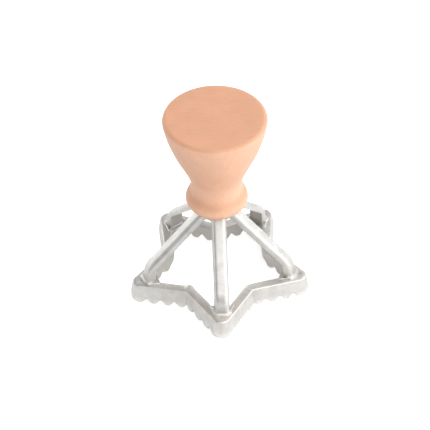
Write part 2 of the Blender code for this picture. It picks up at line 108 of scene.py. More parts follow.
class StampCastingSettings(bpy.types.PropertyGroup):
    """Sizes and colours of the cast star frame"""
    points: IntProperty(name="Points", description="Number of points of the star", default=5, min=3, max=9)
    tip_reach: size("Tip reach", "From the axis to the sharp corner of a tip", 39.7)
    notch_reach: size("Notch reach", "From the axis to the corner of a notch", 22.4)
    tip_rounding: size("Tip rounding", "Radius of the rim's outer line at a tip", 3.7)
    notch_rounding: size("Notch rounding", "Radius of the flared wall in a notch", 0.3)
    rim_height: size("Rim height", "From the teeth's lands to the rim's top", 8.7)
    rim_wall: size("Rim wall", "Width of the rim's flat top", 3.95)
    rim_draft: size("Inner draft", "How much thinner the wall is at its foot", 0.45)
    edge_rounding: size("Edge rounding", "Rounding along the rim's outer top edge", 0.55)
    flare: size("Flare", "How far the wall leans out towards its foot", 0.8)
    grooves: IntProperty(name="Grooves", description="Grooves between a notch and a tip", default=3, min=1, max=8)
    first_groove: size("First groove", "From the middle of a tip to the nearest groove", 5.3)
    groove_depth: size("Groove depth", "Depth of the grooves between the teeth", 2.3)
    groove_half: share("Groove half", "Half of a groove's width, as a share of the grooves' spacing", 0.38)
    tooth_bevel: size("Tooth bevel", "Width of the bevel round the outer side of the teeth", 0.9)
    bevel_rise: size("Bevel rise", "Height of the bevel round the outer side of the teeth", 1.1)
    spoke_angle: angle("Spoke angle", "Slope of the spokes", 44.0)
    spoke_width: size("Spoke width", "Width of a spoke along its upper side", 5.6)
    spoke_draft: size("Spoke draft", "How much further a spoke's lower edges stand out, on each side", 0.25)
    front_shift: size("Front shift", "How far the front spoke lies to the right of the middle", 0.35)
    spoke_depth: size("Spoke depth", "Thickness of a spoke across its slope", 2.7)
    spoke_rounding: size("Spoke rounding", "Rounding along the upper edges of a spoke", 1.7)
    foot_to_tip: size("Foot to tip", "From a foot's end face to the tip's sharp corner", 8.3)
    foot_length: size("Foot length", "Length of a foot on the rim", 4.0)
    foot_height: size("Foot height", "From the rim's top to the bend of the spoke", 6.6)
    foot_lean: size("Foot lean", "How far the foot's end face leans back", 0.8)
    bend_length: size("Bend length", "Length of the curved bend on each side of its corner", 2.6)
    foot_fillet: size("Foot fillet", "Radius of the cove in front of a foot", 1.3)
    rib_width: size("Rib width", "Width of the low ribs beside a foot", 1.3)
    rib_height: size("Rib height", "Height of the low ribs beside a foot", 1.2)
    web_past_heel: size("Web past heel", "How far the web reaches inwards beyond a foot", 1.6)
    web_thickness: size("Web thickness", "Thickness of the web in a tip's inner corner", 4.2)
    hub_radius: size("Hub radius", "Radius of the hub under the handle", 6.5)
    hub_thickness: size("Hub thickness", "Thickness of the hub", 3.0)
    grid: size("Skin spacing", "Spacing of the points on the casting's skin", 0.28)
    waviness: size("Waviness", "Height of the slow waves that tumbling leaves", 0.03)
    lump: size("Lump", "Height of the lump that the mould left in a notch's inner corner", 0.8)
    nick: size("Nick", "Depth of the small nick in the front tip's edge", 0.25)
    grit: size("Grit", "Width of the grains of the cast skin", 0.42)
    metal: colour("Metal", "Clean tumbled aluminium", "#dbdad7")
    worn: colour("Worn metal", "Aluminium on rubbed edges", "#f1efeb")
    # Painted shade: this grey darkens creases, sheltered places and the sides facing into the star; it is also the
    # tone of the flow marks and pits
    dull_grey_and_shade: colour("Dull metal", "Aluminium in the corners and inside, with its grey oxide", "#a9a6a1")
    # Painted shade: share of the darker grey on the sides that face into the star
    inward_shade: share("Inside dulling", "Share of oxide left on the sides that face into the star", 0.5)
    roughness: share("Roughness", "Roughness of the tumbled skin", 0.47)


class StampHandleSettings(bpy.types.PropertyGroup):
    """Sizes and colours of the turned handle"""
    foot_radius: size("Foot radius", "Radius of the flat foot on the hub", 7.6)
    bulb_radius: size("Bulb radius", "Radius of the bulb", 12.3)
    bulb_height: size("Bulb height", "From the foot to the bulb's widest place", 4.6)
    neck_radius: size("Neck radius", "Radius of the neck", 10.05)
    neck_height: size("Neck height", "From the foot to the neck", 11.6)
    knob_radius: size("Knob radius", "Radius of the knob under its rounded edge", 20.4)
    edge_rounding: size("Edge rounding", "Rounding of the knob's upper edge", 1.8)
    hole_radius: size("Hole radius", "Radius of the pilot hole", 2.3)
    ring_width: size("Ring width", "Spacing of the growth rings", 2.4)
    fleck_length: size("Fleck length", "Length of the ray flecks along the grain", 3.0)
    fleck_width: size("Fleck width", "Width of the ray flecks", 0.35)
    early: colour("Early wood", "Pale wood of the growth rings", "#efbd9f")
    late: colour("Late wood", "Darker wood of the growth rings", "#e4ab89")
    # Also painted shade: this darker colour falls on every surface that faces up or down, the top and the undersides
    end_grain_and_shade: colour("End grain", "Wood cut across the grain, which takes up more oil", "#e2aa89")
    fleck: colour("Ray fleck", "Small dark ray flecks of beech", "#c98f6a")
    roughness: share("Roughness", "Roughness of the sanded and oiled surface", 0.46)


class StampScrewSettings(bpy.types.PropertyGroup):
    """Sizes and colours of the wood screw"""
    shank_radius: size("Shank radius", "Radius of the shank", 2.0)
    head_radius: size("Head radius", "Radius of the countersunk head", 3.8)
    head_rim: size("Head rim", "Height of the head's straight rim", 0.25)
    point_length: size("Point length", "Length of the point", 3.5)
    recess_width: size("Recess width", "Width of a wing of the cross recess", 0.9)
    recess_depth: size("Recess depth", "Depth of the cross recess", 1.6)
    zinc: colour("Zinc", "Bright zinc plating", "#b9bcc0")
    roughness: share("Roughness", "Roughness of the plating", 0.3)


class StampStageSettings(bpy.types.PropertyGroup):
    """The floor, the lamps and the camera"""
    floor: colour("Floor", "Pale studio floor", "#f7f7f7")
    floor_half: size("Floor half width", "Half of the floor's width", 1500)
    floor_lift: share("Floor lift", "White that the camera sees on the floor besides the lit colour", 0.6)
    shown_share: share("Shown share", "How much of the floor's lift reflections show", 0.2)
    dome: share("Dome", "Brightness of the dim studio between the lamps", 0.1)
    lamp_width: size("Lamp width", "Width of each square soft lamp", 400)
    lamp_reach: size("Lamp reach", "From the stamp to each lamp", 800)
    lamp_power: share("Lamp power", "Factor on the power of every lamp", 0.74)
    elevation: angle("Elevation", "Camera's height above the horizon", 41.72)
    azimuth: angle("Azimuth", "Camera's turn round the stamp", -1.03)
    roll: angle("Roll", "How far the upright leans to the left in the picture", 1.54)
    distance: size("Distance", "From the camera to the aim", 1191)
    aim_side: FloatProperty(name="Aim to the side", description="From the axis to the aim, to the camera's right",
                            default=-0.92 * MM, subtype='DISTANCE', unit='LENGTH', precision=5)
    aim_height: size("Aim height", "Height of the aim above the floor", 32.99)
    lens: FloatProperty(name="Lens", description="Focal length on a 36 mm sensor", default=252.1,
                        subtype='DISTANCE_CAMERA')


def add_node(tree, kind, settings=None, links=None):
    """Add one node to a tree, set its values and link outputs of other nodes to its inputs."""
    node = tree.nodes.new(kind)
    for key, value in (settings or {}).items():
        if isinstance(key, str) and hasattr(node, key):
            setattr(node, key, value)
        else:
            node.inputs[key].default_value = value
    for key, source in (links or {}).items():
        tree.links.new(source, node.inputs[key])
    return node


def new_material(name):
    """An empty node material with its output."""
    material = bpy.data.materials.new(name)
    material.use_nodes = True
    material.node_tree.nodes.clear()
    tree = material.node_tree
    return material, tree, add_node(tree, 'ShaderNodeOutputMaterial')


def cast_aluminium(settings):
    """Die-cast aluminium, tumbled with small stones after casting.

    Tumbling leaves a bright satin skin with a fine sandy grain and a few pits. Edges that the stones reach are
    rubbed lighter and smoother. Creases, places that the rest of the casting shelters, and the sides that face into
    the star are painted a darker grey as shade.
    """
    material, tree, output = new_material("tumbled_cast_aluminium")
    coordinates = add_node(tree, 'ShaderNodeTexCoord')
    place = coordinates.outputs["Object"]
    # Grains of 0.1 mm don't show at this size, so they are drawn 0.4 mm wide
    grains = add_node(tree, 'ShaderNodeTexNoise', {
        "Scale": 1 / settings.grit, "Detail": 3.0, "Roughness": 0.62}, {"Vector": place})
    # Flow marks of the melt, 4 mm apart
    clouds = add_node(tree, 'ShaderNodeTexNoise', {
        "Scale": 1 / (4 * MM), "Detail": 2.0, "Roughness": 0.5}, {"Vector": place})
    # Gas pits every 1.5 mm or so
    pits = add_node(tree, 'ShaderNodeTexVoronoi', {
        "Scale": 1 / (1.5 * MM), "Randomness": 1.0}, {"Vector": place})
    pit_mask = add_node(tree, 'ShaderNodeMapRange', {
        "interpolation_type": 'SMOOTHSTEP', "From Min": 0.05, "From Max": 0.14,
        "To Min": 0.4, "To Max": 0.0}, {"Value": pits.outputs["Distance"]})
    bend = add_node(tree, 'ShaderNodeNewGeometry').outputs["Pointiness"]
    rubbed = add_node(tree, 'ShaderNodeMapRange', {
        "interpolation_type": 'SMOOTHSTEP', "From Min": 0.505, "From Max": 0.56}, {"Value": bend})
    # Painted shade: creases, where the surface bends inwards, are darkened
    crease_shade = add_node(tree, 'ShaderNodeMapRange', {
        "interpolation_type": 'SMOOTHSTEP', "From Min": 0.495, "From Max": 0.43}, {"Value": bend})
    # Painted shade: darker grey where the rest of the casting stands round about, as between the spokes and the rim
    occlusion = add_node(tree, 'ShaderNodeAmbientOcclusion', {
        "samples": 8, "only_local": True, "Distance": 14 * MM})
    occlusion_shade = add_node(tree, 'ShaderNodeMapRange', {
        "From Min": 0.93, "From Max": 0.55, "To Max": 0.6}, {"Value": occlusion.outputs["AO"]})
    from_axis = add_node(tree, 'ShaderNodeVectorMath', {"operation": 'SUBTRACT', 1: tuple(AXIS)}, {0: place})
    level = add_node(tree, 'ShaderNodeVectorMath', {"operation": 'MULTIPLY', 1: (1.0, 1.0, 0.0)},
                     {0: from_axis.outputs["Vector"]})
    outward = add_node(tree, 'ShaderNodeVectorMath', {"operation": 'NORMALIZE'}, {0: level.outputs["Vector"]})
    faces_out = add_node(tree, 'ShaderNodeVectorMath', {"operation": 'DOT_PRODUCT'}, {
        0: outward.outputs["Vector"], 1: coordinates.outputs["Normal"]})
    # Painted shade: the sides that face into the star are darkened
    inside = add_node(tree, 'ShaderNodeMapRange', {
        "interpolation_type": 'SMOOTHSTEP', "From Min": -0.15, "From Max": -0.45,
        "To Max": settings.inward_shade}, {"Value": faces_out.outputs["Value"]})
    painted_shade_mask = add_node(tree, 'ShaderNodeMath', {"operation": 'MAXIMUM'}, {
        0: crease_shade.outputs["Result"], 1: occlusion_shade.outputs["Result"]})
    tone = add_node(tree, 'ShaderNodeMapRange', {
        "From Min": 0.35, "From Max": 0.6, "To Min": 0.72, "To Max": 1.0}, {"Value": clouds.outputs["Fac"]})
    clean = add_node(tree, 'ShaderNodeMix', {
        "data_type": 'RGBA', 6: (*settings.dull_grey_and_shade, 1.0), 7: (*settings.metal, 1.0)}, {0: tone.outputs["Result"]})
    speckle = add_node(tree, 'ShaderNodeMapRange', {
        "From Min": 0.3, "From Max": 0.7, "To Min": 0.75, "To Max": 1.15}, {"Value": grains.outputs["Fac"]})
    speckled = add_node(tree, 'ShaderNodeMix', {
        "data_type": 'RGBA', "blend_type": 'MULTIPLY', 0: 0.35}, {
        6: clean.outputs[2], 7: speckle.outputs["Result"]})
    # Painted shade laid on in creases and sheltered places
    shaded_grey = add_node(tree, 'ShaderNodeMix', {
        "data_type": 'RGBA', 7: (*settings.dull_grey_and_shade, 1.0)}, {0: painted_shade_mask.outputs["Value"], 6: speckled.outputs[2]})
    edged = add_node(tree, 'ShaderNodeMix', {
        "data_type": 'RGBA', 7: (*settings.worn, 1.0)}, {0: rubbed.outputs["Result"], 6: shaded_grey.outputs[2]})
    # The pits take the darker grey, and the sides facing into the star take it as painted shade
    pits_and_inward_shade = add_node(tree, 'ShaderNodeMath', {"operation": 'MAXIMUM'}, {
        0: pit_mask.outputs["Result"], 1: inside.outputs["Result"]})
    pitted_and_shaded = add_node(tree, 'ShaderNodeMix', {
        "data_type": 'RGBA', 7: (*settings.dull_grey_and_shade, 1.0)}, {0: pits_and_inward_shade.outputs["Value"], 6: edged.outputs[2]})
    gloss = add_node(tree, 'ShaderNodeMapRange', {
        "From Min": 0.3, "From Max": 0.7, "To Min": settings.roughness - 0.07,
        "To Max": settings.roughness + 0.1}, {"Value": grains.outputs["Fac"]})
    gloss_edge = add_node(tree, 'ShaderNodeMath', {"operation": 'MULTIPLY_ADD', 1: -0.08},
                          {0: rubbed.outputs["Result"], 2: gloss.outputs["Result"]})
    sandy = add_node(tree, 'ShaderNodeBump', {"Strength": 0.5, "Distance": 0.03 * MM},
                     {"Height": grains.outputs["Fac"]})
    wavy = add_node(tree, 'ShaderNodeBump', {"Strength": 0.5, "Distance": 0.08 * MM},
                    {"Height": clouds.outputs["Fac"], "Normal": sandy.outputs["Normal"]})
    sunk = add_node(tree, 'ShaderNodeBump', {"Strength": 0.6, "Distance": 0.06 * MM, "invert": True},
                    {"Height": pit_mask.outputs["Result"], "Normal": wavy.outputs["Normal"]})
    shader = add_node(tree, 'ShaderNodeBsdfPrincipled', {"Metallic": 1.0}, {
        "Base Color": pitted_and_shaded.outputs[2], "Roughness": gloss_edge.outputs["Value"],
        "Normal": sunk.outputs["Normal"]})
    tree.links.new(shader.outputs["BSDF"], output.inputs["Surface"])
    return material


def oiled_beech(settings):
    """Steamed beech, turned, sanded fine and oiled.

    Beech has faint growth rings and short dark ray flecks along the grain. The grain runs up the handle, so the flat
    top is end grain, which takes up more oil and is darker and warmer than the sides. The same darkening, spread to
    every surface that faces up or down, is also painted shade on the top and under the bulb.
    """
    material, tree, output = new_material("oiled_steamed_beech")
    coordinates = add_node(tree, 'ShaderNodeTexCoord')
    place = coordinates.outputs["Object"]
    # The handle was cut from a plank some 60 mm from the tree's heart, so its rings are shallow arcs
    heart = add_node(tree, 'ShaderNodeMapping', {"Location": (0.012, 0.06, 0.0), "Rotation": (0.04, 0.03, 0.0)},
                     {"Vector": place})
    drift = add_node(tree, 'ShaderNodeTexNoise', {"Scale": 1 / (14 * MM), "Detail": 2.0}, {"Vector": place})
    away = add_node(tree, 'ShaderNodeVectorMath', {"operation": 'MULTIPLY', 1: (1.0, 1.0, 0.0)},
                    {0: heart.outputs["Vector"]})
    reach = add_node(tree, 'ShaderNodeVectorMath', {"operation": 'LENGTH'}, {0: away.outputs["Vector"]})
    wander = add_node(tree, 'ShaderNodeMath', {"operation": 'MULTIPLY_ADD', 1: 2.5 * MM},
                      {0: drift.outputs["Fac"], 2: reach.outputs["Value"]})
    turns = add_node(tree, 'ShaderNodeMath', {"operation": 'MULTIPLY', 1: 1 / settings.ring_width},
                     {0: wander.outputs["Value"]})
    in_ring = add_node(tree, 'ShaderNodeMath', {"operation": 'FRACT'}, {0: turns.outputs["Value"]})
    late_wood = add_node(tree, 'ShaderNodeMapRange', {
        "interpolation_type": 'SMOOTHSTEP', "From Min": 0.35, "From Max": 0.95},
        {"Value": in_ring.outputs["Value"]})
    # Fibres run along the grain, so their noise is drawn out 14 times upwards
    along = add_node(tree, 'ShaderNodeMapping', {"Scale": (1.0, 1.0, 0.07)}, {"Vector": place})
    fibres = add_node(tree, 'ShaderNodeTexNoise', {"Scale": 1 / (0.5 * MM), "Detail": 4.0, "Roughness": 0.6},
                      {"Vector": along.outputs["Vector"]})
    flow = settings.fleck_width / settings.fleck_length
    rays = add_node(tree, 'ShaderNodeMapping', {"Scale": (1.0, 1.0, flow)}, {"Vector": place})
    flecks = add_node(tree, 'ShaderNodeTexVoronoi', {"Scale": 1 / (2.6 * settings.fleck_width)},
                      {"Vector": rays.outputs["Vector"]})
    fleck_mask = add_node(tree, 'ShaderNodeMapRange', {
        "interpolation_type": 'SMOOTHSTEP', "From Min": 0.1, "From Max": 0.26, "To Min": 1.0, "To Max": 0.0},
        {"Value": flecks.outputs["Distance"]})
    patches = add_node(tree, 'ShaderNodeTexNoise', {"Scale": 1 / (9 * MM), "Detail": 3.0}, {"Vector": place})
    ring_strength = add_node(tree, 'ShaderNodeMath', {"operation": 'MULTIPLY', 1: 0.12},
                             {0: late_wood.outputs["Result"]})
    ringed = add_node(tree, 'ShaderNodeMix', {
        "data_type": 'RGBA', 6: (*settings.early, 1.0), 7: (*settings.late, 1.0)},
        {0: ring_strength.outputs["Value"]})
    fibre_tone = add_node(tree, 'ShaderNodeMapRange', {
        "From Min": 0.3, "From Max": 0.7, "To Min": 0.955, "To Max": 1.03}, {"Value": fibres.outputs["Fac"]})
    fibred = add_node(tree, 'ShaderNodeMix', {"data_type": 'RGBA', "blend_type": 'MULTIPLY', 0: 1.0},
                      {6: ringed.outputs[2], 7: fibre_tone.outputs["Result"]})
    cloud_tone = add_node(tree, 'ShaderNodeMapRange', {
        "From Min": 0.3, "From Max": 0.7, "To Min": 0.95, "To Max": 1.03}, {"Value": patches.outputs["Fac"]})
    clouded = add_node(tree, 'ShaderNodeMix', {"data_type": 'RGBA', "blend_type": 'MULTIPLY', 0: 1.0},
                       {6: fibred.outputs[2], 7: cloud_tone.outputs["Result"]})
    # Where the surface turns to face along the grain, it is cut across the fibres; the mask is wide, so it is also
    # painted shade on the top and the undersides
    facing = add_node(tree, 'ShaderNodeSeparateXYZ', {}, {"Vector": coordinates.outputs["Normal"]})
    upright = add_node(tree, 'ShaderNodeMath', {"operation": 'ABSOLUTE'}, {0: facing.outputs["Z"]})
    across_grain_and_shade = add_node(tree, 'ShaderNodeMapRange', {
        "interpolation_type": 'SMOOTHSTEP', "From Min": 0.1, "From Max": 0.8}, {"Value": upright.outputs["Value"]})
    darkening = [dark / pale for dark, pale in zip(settings.end_grain_and_shade, settings.early)]
    ended_and_shaded = add_node(tree, 'ShaderNodeMix', {
        "data_type": 'RGBA', "blend_type": 'MULTIPLY', 7: (*darkening, 1.0)},
        {0: across_grain_and_shade.outputs["Result"], 6: clouded.outputs[2]})
    fleck_strength = add_node(tree, 'ShaderNodeMath', {"operation": 'MULTIPLY', 1: 0.28},
                              {0: fleck_mask.outputs["Result"]})
    flecked = add_node(tree, 'ShaderNodeMix', {"data_type": 'RGBA', 7: (*settings.fleck, 1.0)},
                       {0: fleck_strength.outputs["Value"], 6: ended_and_shaded.outputs[2]})
    gloss = add_node(tree, 'ShaderNodeMapRange', {
        "From Min": 0.3, "From Max": 0.7, "To Min": settings.roughness - 0.04,
        "To Max": settings.roughness + 0.08}, {"Value": fibres.outputs["Fac"]})
    pores = add_node(tree, 'ShaderNodeBump', {"Strength": 0.35, "Distance": 0.03 * MM},
                     {"Height": fibres.outputs["Fac"]})
    # Sanding on the lathe leaves faint rings 0.6 mm apart
    lathe = add_node(tree, 'ShaderNodeTexWave', {
        "wave_type": 'BANDS', "bands_direction": 'Z', "Scale": 1 / (20 * 0.6 * MM), "Distortion": 0.6,
        "Detail": 1.0}, {"Vector": place})
    ribbed = add_node(tree, 'ShaderNodeBump', {"Strength": 0.12, "Distance": 0.01 * MM},
                      {"Height": lathe.outputs["Fac"], "Normal": pores.outputs["Normal"]})
    shader = add_node(tree, 'ShaderNodeBsdfPrincipled', {"IOR": 1.47, "Specular IOR Level": 0.45}, {
        "Base Color": flecked.outputs[2], "Roughness": gloss.outputs["Result"], "Normal": ribbed.outputs["Normal"]})
    tree.links.new(shader.outputs["BSDF"], output.inputs["Surface"])
    return material


def bright_zinc(settings):
    """Steel plated with bright zinc.

    The plating is smooth and slightly blue, with a cloudy sheen and fine marks from the driver's bit.
    """
    material, tree, output = new_material("bright_zinc_plate")
    place = add_node(tree, 'ShaderNodeTexCoord').outputs["Object"]
    # Clouds of the passivated skin, 1.2 mm wide
    clouds = add_node(tree, 'ShaderNodeTexNoise', {"Scale": 1 / (1.2 * MM), "Detail": 3.0}, {"Vector": place})
    marks = add_node(tree, 'ShaderNodeTexNoise', {"Scale": 1 / (0.25 * MM), "Detail": 2.0}, {"Vector": place})
    tone = add_node(tree, 'ShaderNodeMapRange', {"From Min": 0.3, "From Max": 0.7, "To Min": 0.82, "To Max": 1.06},
                    {"Value": clouds.outputs["Fac"]})
    tinted = add_node(tree, 'ShaderNodeMix', {
        "data_type": 'RGBA', "blend_type": 'MULTIPLY', 0: 1.0, 6: (*settings.zinc, 1.0)},
        {7: tone.outputs["Result"]})
    gloss = add_node(tree, 'ShaderNodeMapRange', {
        "From Min": 0.3, "From Max": 0.7, "To Min": settings.roughness - 0.08,
        "To Max": settings.roughness + 0.08}, {"Value": marks.outputs["Fac"]})
    scuffed = add_node(tree, 'ShaderNodeBump', {"Strength": 0.3, "Distance": 0.01 * MM},
                       {"Height": marks.outputs["Fac"]})
    shader = add_node(tree, 'ShaderNodeBsdfPrincipled', {"Metallic": 1.0}, {
        "Base Color": tinted.outputs[2], "Roughness": gloss.outputs["Result"], "Normal": scuffed.outputs["Normal"]})
    tree.links.new(shader.outputs["BSDF"], output.inputs["Surface"])
    return material


def seen_share(tree, settings):
    """How much of the plain white background a ray sees: the camera all of it, and the metal a part."""
    ray = add_node(tree, 'ShaderNodeLightPath')
    mirrored = add_node(tree, 'ShaderNodeMath', {"operation": 'MULTIPLY', 1: settings.shown_share},
                        {0: ray.outputs["Is Glossy Ray"]})
    direct = add_node(tree, 'ShaderNodeMath', {"operation": 'MAXIMUM'},
                      {0: ray.outputs["Is Camera Ray"], 1: mirrored.outputs["Value"]})
    return add_node(tree, 'ShaderNodeMath', {"operation": 'MAXIMUM'},
                    {0: direct.outputs["Value"], 1: ray.outputs["Is Transmission Ray"]})


def studio_floor(settings):
    """Matt white background paper.

    The camera sees it lifted to plain white, reflections see a part of that, and the stamp's shadow stays on it.
    """
    material, tree, output = new_material("white_background_paper")
    place = add_node(tree, 'ShaderNodeTexCoord').outputs["Object"]
    # Paper fibres, drawn 2 mm long
    fibres = add_node(tree, 'ShaderNodeTexNoise', {"Scale": 1 / (2 * MM), "Detail": 3.0}, {"Vector": place})
    tone = add_node(tree, 'ShaderNodeMapRange', {"To Min": 0.985, "To Max": 1.0}, {"Value": fibres.outputs["Fac"]})
    paper = add_node(tree, 'ShaderNodeMix', {
        "data_type": 'RGBA', "blend_type": 'MULTIPLY', 0: 1.0, 6: (*settings.floor, 1.0)},
        {7: tone.outputs["Result"]})
    lit = add_node(tree, 'ShaderNodeBsdfDiffuse', {}, {"Color": paper.outputs[2]})
    lift = add_node(tree, 'ShaderNodeMath', {"operation": 'MULTIPLY', 1: settings.floor_lift},
                    {0: seen_share(tree, settings).outputs["Value"]})
    glow = add_node(tree, 'ShaderNodeEmission', {"Color": (1.0, 1.0, 1.0, 1.0)},
                    {"Strength": lift.outputs["Value"]})
    both = add_node(tree, 'ShaderNodeAddShader', {}, {0: lit.outputs["BSDF"], 1: glow.outputs["Emission"]})
    tree.links.new(both.outputs["Shader"], output.inputs["Surface"])
    return material


def link_mesh(name, bm, material):
    """Make an object from a bmesh, with smooth faces that point out."""
    bmesh.ops.recalc_face_normals(bm, faces=bm.faces)
    mesh = bpy.data.meshes.new(name)
    bm.to_mesh(mesh)
    bm.free()
    mesh.shade_smooth()
    mesh.materials.append(material)
    item = bpy.data.objects.new(name, mesh)
    bpy.context.scene.collection.objects.link(item)
    return item


def bake_modifiers(item):
    """Put what an object's modifiers make into its mesh."""
    evaluated = item.evaluated_get(bpy.context.evaluated_depsgraph_get())
    mesh = bpy.data.meshes.new_from_object(evaluated)
    old = item.data
    item.modifiers.clear()
    item.data = mesh
    bpy.data.meshes.remove(old)
    mesh.name = item.name


def hand_over(piece, node):
    """Let a piece stand for its node and ride on the body."""
    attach(piece, "root")
    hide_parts(node)


def skin(bm, rings, closed=False):
    """Skin closed rings of points in order; the ends are capped, or the last ring joins the first."""
    loops = [[bm.verts.new(point) for point in ring] for ring in rings]
    pairs = list(zip(loops, loops[1:]))
    if closed:
        pairs.append((loops[-1], loops[0]))
    for first, second in pairs:
        for index in range(len(first)):
            after = (index + 1) % len(first)
            bm.faces.new((first[index], first[after], second[after], second[index]))
    if not closed:
        bm.faces.new(loops[0])
        bm.faces.new(loops[-1])


def add_slab(bm, outline, low, high):
    """A plate from its outline of (outward, sideways) between two heights."""
    skin(bm, [[Vector((across, side, height)) for across, side in outline] for height in (low, high)])


def turn_profile(bm, profile, segments):
    """Turn a profile of (radius, height) round the stamp's axis."""
    verts = [bm.verts.new((radius, 0.0, height)) for radius, height in profile]
    edges = [bm.edges.new(pair) for pair in zip(verts, verts[1:])]
    bmesh.ops.spin(bm, geom=verts + edges, cent=(0, 0, 0), axis=(0, 0, 1), angle=2 * math.pi, steps=segments,
                   use_merge=True)
    bmesh.ops.remove_doubles(bm, verts=bm.verts, dist=0.002 * MM)


def curve(start, start_pull, end_pull, end, steps):
    """Points of one Bezier stretch of a profile, without its last point."""
    controls = [Vector((radius, 0.0, height)) for radius, height in (start, start_pull, end_pull, end)]
    return [(point.x, point.z) for point in interpolate_bezier(*controls, steps + 1)[:-1]]


def quarter(centre, radius, start, steps):
    """Points of a quarter circle in a section, turning anticlockwise from an angle."""
    turns = [start + step / steps * math.pi / 2 for step in range(steps + 1)]
    return [(centre[0] + radius * math.cos(turn), centre[1] + radius * math.sin(turn)) for turn in turns]


def edge_runs(s):
    """Half the arc of the front tip, the straight run and half the arc of a notch, on the rim's outer line.

    Each holds its length on the tooth line, and a function that gives the outer point, the outward direction
    and the room inward at a share of that length.
    """
    step = math.pi / s.points
    edge = Vector((s.notch_reach * math.sin(step), s.tip_reach - s.notch_reach * math.cos(step)))
    half_angle = math.atan2(edge.x, edge.y)
    tip_turn = math.pi / 2 - half_angle
    notch_turn = tip_turn - step
    notch_radius = s.notch_rounding + s.flare
    tip_tangent = s.tip_rounding * math.tan(tip_turn)
    notch_tangent = notch_radius * math.tan(notch_turn)
    straight = edge.length - tip_tangent - notch_tangent

    def arc(reach, bearing, turn, radius, start, end):
        away = Vector((math.cos(bearing), math.sin(bearing)))
        centre = away * (reach - radius / math.cos(turn))

        def place(share):
            at = start + (end - start) * share
            outward = Vector((math.cos(at), math.sin(at)))
            return centre + outward * radius, outward, radius if radius > 0 else math.inf

        return abs(end - start) * abs(radius - TOOTH_LINE), place

    front = -math.pi / 2
    tip_arc = arc(s.tip_reach, front, tip_turn, s.tip_rounding, front, front + tip_turn)
    notch_arc = arc(s.notch_reach, front + step, notch_turn, -notch_radius, front + tip_turn, front + step)
    first, outward, _ = tip_arc[1](1.0)
    along = Vector((-outward.y, outward.x))

    def line(share):
        to_tip = tip_tangent + straight * share
        return first + along * straight * share, outward, to_tip * math.tan(half_angle)

    return [tip_arc, (straight, line), notch_arc]


def rim_section(s, room, lift):
    """Section of the rim as (distance inward, height), from the top's outer edge down and round."""
    top_inner = min(s.rim_wall, room - LEAST_WALL)
    foot_inner = min(s.rim_wall - s.rim_draft, room - LEAST_WALL)
    rounding = s.edge_rounding
    land_start = s.tooth_bevel - s.flare
    wall = [
        (-s.flare, s.groove_depth + FLARE_BEND),
        (-s.flare * 0.9, lift + s.bevel_rise),
        (land_start, lift),
        (land_start + LAND_WIDTH, lift),
        (foot_inner, lift + INNER_BEVEL),
        (top_inner, s.rim_height - SMALL_STEP),
        (top_inner - SMALL_STEP * 0.3, s.rim_height - SMALL_STEP * 0.3),
        (top_inner - SMALL_STEP, s.rim_height),
    ]
    return quarter((rounding, s.rim_height - rounding), rounding, math.pi / 2, 5) + wall


def add_rim(bm, s):
    """The closed star rim: one edge, mirrored to an arm and turned to each tip."""
    runs = edge_runs(s)
    length = sum(run[0] for run in runs)
    pitch = (length - s.first_groove) / s.grooves
    half = s.groove_half * pitch
    roof = 0.06 * pitch
    count = math.ceil(length / (0.7 * s.grid))
    edge = []
    for step in range(count + 1):
        distance = length * step / count
        rest = distance
        for run, place in runs:
            if rest <= run + 1e-9:
                break
            rest -= run
        point, outward, room = place(min(1.0, rest / run))
        past_groove = distance - s.first_groove
        if past_groove > 0:
            past_groove = (pitch / 2 + past_groove) % pitch - pitch / 2
        lift = s.groove_depth * min(1.0, max(0.0, (half - abs(past_groove)) / (half - roof)))
        edge.append([Vector((*(point - outward * inward), height)) for inward, height in rim_section(s, room, lift)])
    mirrored = [[Vector((-point.x, point.y, point.z)) for point in ring] for ring in edge[:0:-1]]
    rings = []
    for arm in range(s.points):
        turn = Matrix.Rotation(2 * math.pi * arm / s.points, 3, 'Z')
        rings += [[turn @ point for point in ring] for ring in mirrored + edge[:-1]]
    skin(bm, rings, closed=True)


